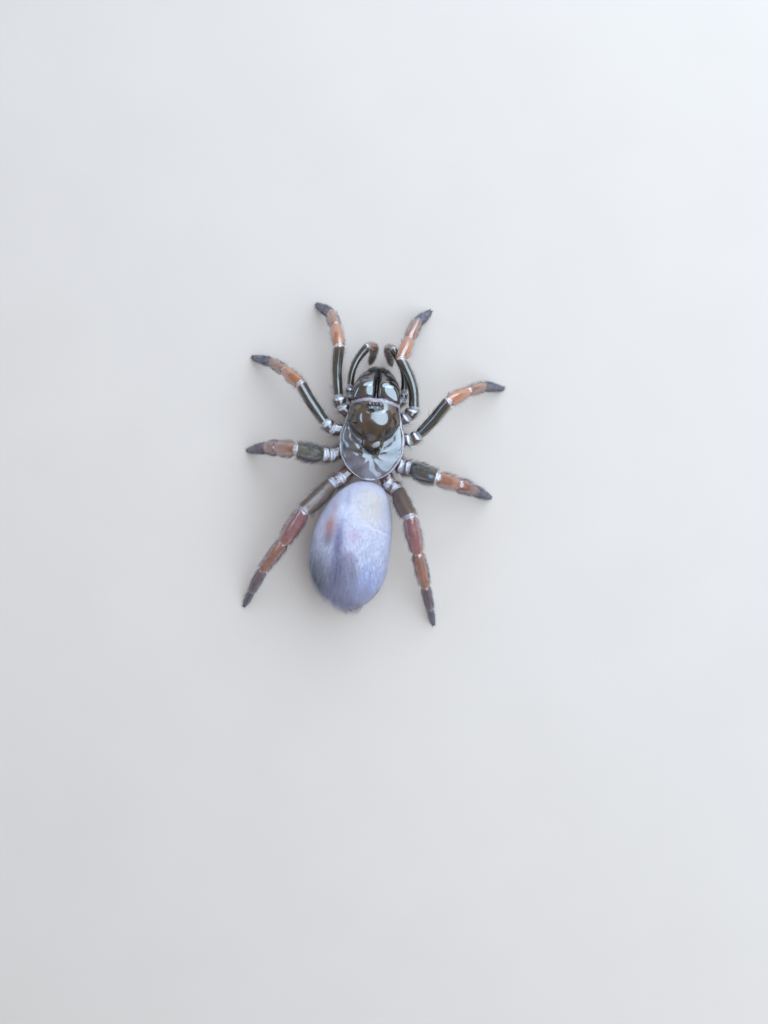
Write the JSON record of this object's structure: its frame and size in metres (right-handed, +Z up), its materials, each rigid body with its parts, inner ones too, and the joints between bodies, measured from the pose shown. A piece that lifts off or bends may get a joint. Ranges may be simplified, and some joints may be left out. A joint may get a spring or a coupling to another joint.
{
  "type": "trapdoor spider",
  "caption": "Life-size model of a trapdoor spider standing on flat-soled feet, with a domed carapace, stout folded jaws and a plump oval abdomen.",
  "frame": {"origin": "middle of the footprint's bounding box, on the floor under the feet", "axes": "-Y towards the jaws, +Y towards the end of the abdomen, +X towards the spider's left side, +Z up from the floor"},
  "size_m": [0.0314, 0.0388, 0.0096],
  "materials": {
    "carapace": "glossy dark brown shell",
    "jaw": "glossy near-black brown",
    "eye": "wet-looking black lenses on a dark mound",
    "abdomen": "satin lavender grey hide with fine hair",
    "underside": "satin red-brown plates",
    "femur": "glossy dark olive brown",
    "patella": "glossy orange brown",
    "tibia": "glossy orange brown with fine hair",
    "foot": "grey-brown, densely haired"
  },
  "bodies": {
    "root": {"abdomen": "abdomen", "carapace": "carapace", "chelicera_left": "jaw", "chelicera_right": "jaw", "eyes": "eye", "fang_left": "jaw", "fang_right": "jaw", "labium": "underside", "leg_1_left_coxa": "underside", "leg_1_left_femur": "femur", "leg_1_left_patella": "patella", "leg_1_left_tarsus": "foot", "leg_1_left_tibia": "tibia", "leg_1_right_coxa": "underside", "leg_1_right_femur": "femur", "leg_1_right_patella": "patella", "leg_1_right_tarsus": "foot", "leg_1_right_tibia": "tibia", "leg_2_left_coxa": "underside", "leg_2_left_femur": "femur", "leg_2_left_patella": "patella", "leg_2_left_tarsus": "foot", "leg_2_left_tibia": "tibia", "leg_2_right_coxa": "underside", "leg_2_right_femur": "femur", "leg_2_right_patella": "patella", "leg_2_right_tarsus": "foot", "leg_2_right_tibia": "tibia", "leg_3_left_coxa": "underside", "leg_3_left_femur": "femur", "leg_3_left_patella": "patella", "leg_3_left_tarsus": "foot", "leg_3_left_tibia": "tibia", "leg_3_right_coxa": "underside", "leg_3_right_femur": "femur", "leg_3_right_patella": "patella", "leg_3_right_tarsus": "foot", "leg_3_right_tibia": "tibia", "leg_4_left_coxa": "underside", "leg_4_left_femur": "femur", "leg_4_left_patella": "patella", "leg_4_left_tarsus": "foot", "leg_4_left_tibia": "tibia", "leg_4_right_coxa": "underside", "leg_4_right_femur": "femur", "leg_4_right_patella": "patella", "leg_4_right_tarsus": "foot", "leg_4_right_tibia": "tibia", "palp_left_coxa": "underside", "palp_left_femur": "femur", "palp_left_tarsus": "foot", "palp_left_tibia": "tibia", "palp_right_coxa": "underside", "palp_right_femur": "femur", "palp_right_tarsus": "foot", "palp_right_tibia": "tibia", "pedicel": "underside", "spinneret_left": "abdomen", "spinneret_right": "abdomen", "sternum": "underside"}
  },
  "joints": []
}
